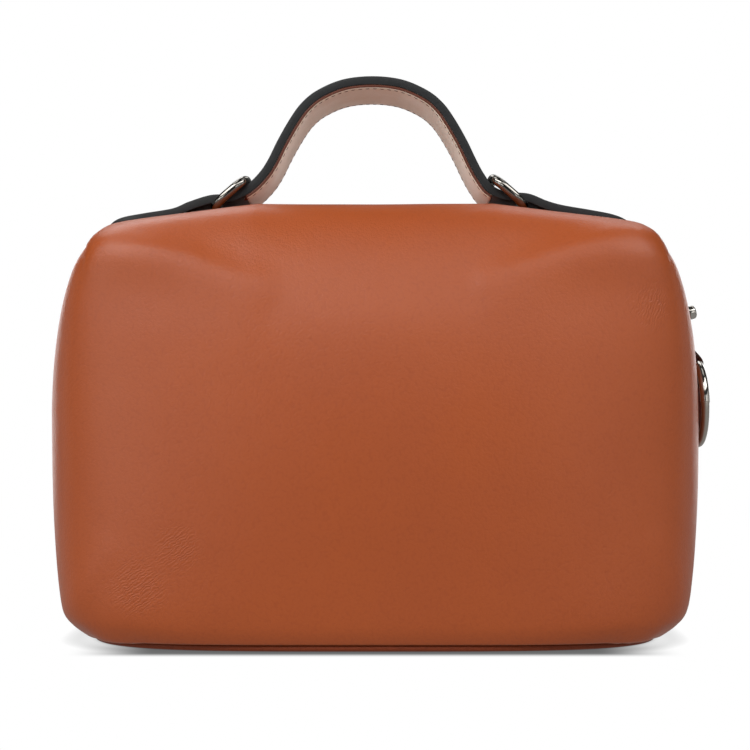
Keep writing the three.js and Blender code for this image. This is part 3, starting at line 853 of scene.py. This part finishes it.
def makeFloor():
    # white paper that glows plain white, with painted shade: a soft shadow round the base's footprint and a
    # darker line where pieces stand close to it
    bm = bmesh.new()
    bmesh.ops.create_grid(bm, x_segments=1, y_segments=1, size=studio["floorSize"] / 2)
    mesh = bpy.data.meshes.new("floor")
    bm.to_mesh(mesh)
    bm.free()
    floor = bpy.data.objects.new("floor", mesh)
    bpy.context.scene.collection.objects.link(floor)
    paper = bpy.data.materials.new("seamless_paper_matte")
    paper.use_nodes = True
    tree = paper.node_tree
    tree.nodes.clear()
    place = addNode(tree, "ShaderNodeTexCoord").outputs["Object"]
    away = addNode(tree, "ShaderNodeVectorMath", {"operation": "LENGTH"}, links={0: place})
    fade = remap(tree, away.outputs["Value"], studio["floorFade"], (0.0, 1.0), "SMOOTHSTEP")
    # painted shade: a soft shadow laid round the base's footprint by its place on the paper, and a darker
    # line from ambient occlusion where pieces touch the paper
    across = addNode(tree, "ShaderNodeVectorMath", {"operation": "ABSOLUTE"}, links={0: place})
    sides = addNode(tree, "ShaderNodeSeparateXYZ", links={0: across.outputs["Vector"]})
    cover = []
    for axis, (near, far) in studio["footprint"].items():
        cover.append(remap(tree, sides.outputs[axis], (near * mm, far * mm), (1.0, 0.0), "SMOOTHSTEP"))
    shade = addNode(tree, "ShaderNodeMath", {"operation": "MULTIPLY"}, links={0: cover[0], 1: cover[1]})
    touch = addNode(tree, "ShaderNodeAmbientOcclusion", {"samples": studio["contactSamples"]},
                    {"Distance": studio["floorContact"] * mm})
    light = remap(tree, shade.outputs["Value"], (0.0, 1.0), (1.0, 1 - studio["footShade"]))
    close = remap(tree, touch.outputs["AO"], (0.0, 1.0), (1 - studio["contactShade"], 1.0))
    deep = addNode(tree, "ShaderNodeMath", {"operation": "MULTIPLY"}, links={0: light, 1: close})
    # what the camera sees, or else the plain light that the paper gives back to the bag
    seen = addNode(tree, "ShaderNodeLightPath").outputs["Is Camera Ray"]
    glow = addNode(tree, "ShaderNodeMix", {"data_type": "FLOAT"}, {"A": studio["floorBounce"]},
                   {"Factor": seen, "B": deep.outputs["Value"]})
    lit = addNode(tree, "ShaderNodeEmission", links={"Strength": glow.outputs["Result"]})
    clear = addNode(tree, "ShaderNodeBsdfTransparent")
    blend = addNode(tree, "ShaderNodeMixShader",
                    links={0: fade, 1: lit.outputs["Emission"], 2: clear.outputs["BSDF"]})
    addNode(tree, "ShaderNodeOutputMaterial", links={"Surface": blend.outputs["Shader"]})
    mesh.materials.append(paper)


def makeLamps():
    for name, (bearing, rise, width, height, watts) in studio["lamps"].items():
        turn, lift = math.radians(bearing), math.radians(rise)
        away = Vector((math.cos(lift) * math.sin(turn), -math.cos(lift) * math.cos(turn), math.sin(lift)))
        light = bpy.data.lights.new(name, "AREA")
        light.shape = "RECTANGLE"
        light.size, light.size_y, light.energy = width, height, watts
        lamp = bpy.data.objects.new(name, light)
        lamp.location = Vector(studio["lampAim"]) + away * studio["lampReach"]
        lamp.rotation_euler = away.to_track_quat("Z", "Y").to_euler()
        bpy.context.scene.collection.objects.link(lamp)


def makeRoom():
    # a dim room that is lighter behind the bag, and plain white where it is seen
    world = bpy.data.worlds.new("studio")
    bpy.context.scene.world = world
    world.use_nodes = True
    tree = world.node_tree
    tree.nodes.clear()
    place = addNode(tree, "ShaderNodeTexCoord").outputs["Generated"]
    way = addNode(tree, "ShaderNodeSeparateXYZ", links={0: place})
    glow = remap(tree, way.outputs["Y"], studio["roomTurn"], studio["room"], "SMOOTHSTEP")
    seen = addNode(tree, "ShaderNodeLightPath").outputs["Is Camera Ray"]
    strength = addNode(tree, "ShaderNodeMath", {"operation": "MAXIMUM"}, links={0: glow, 1: seen})
    room = addNode(tree, "ShaderNodeBackground", values={"Color": (1, 1, 1, 1)},
                   links={"Strength": strength.outputs["Value"]})
    addNode(tree, "ShaderNodeOutputWorld", links={"Surface": room.outputs["Background"]})


def makeCamera():
    camera = bpy.data.objects.new("camera", bpy.data.cameras.new("camera"))
    camera.data.lens = studio["lens"]
    camera.data.sensor_width = studio["sensor"]
    camera.data.clip_start = studio["clipStart"]
    camera.location = studio["cameraPlace"]
    camera.rotation_euler = (math.radians(90 + studio["cameraPitch"]), 0, 0)
    bpy.context.scene.collection.objects.link(camera)
    bpy.context.scene.camera = camera
    bpy.context.scene.view_settings.view_transform = "Standard"
    bpy.context.scene.view_settings.look = "None"


makeFloor()
makeLamps()
makeRoom()
makeCamera()
print("stage ready")
